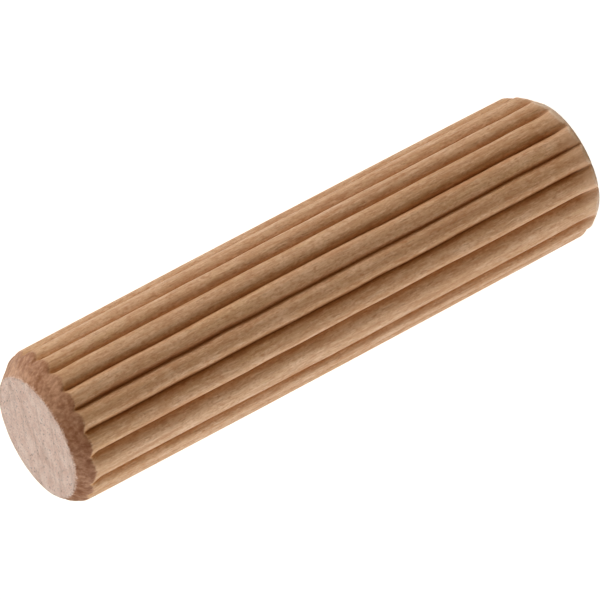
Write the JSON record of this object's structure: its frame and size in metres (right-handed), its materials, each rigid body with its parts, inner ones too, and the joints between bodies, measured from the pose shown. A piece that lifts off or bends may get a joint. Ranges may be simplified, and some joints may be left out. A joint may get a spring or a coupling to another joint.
{
  "type": "dowel pin",
  "caption": "Straight solid wood dowel pin with a reeded shank, plain flat ends and a chamfer at each end.",
  "frame": {"origin": "centre of the pin's bottom end, on the plane it stands on", "axes": "+Z runs along the pin's axis to its top end; the wide ridge faces between -X and -Y, at 220 degrees from +X"},
  "size_m": [0.0102, 0.0101, 0.04],
  "materials": {
    "wood": "bare unfinished beech: light brown long grain on the shank, redder torn grain on the chamfers, pale pinkish end grain"
  },
  "bodies": {
    "root": {"dowel_pin": "wood"}
  },
  "joints": []
}
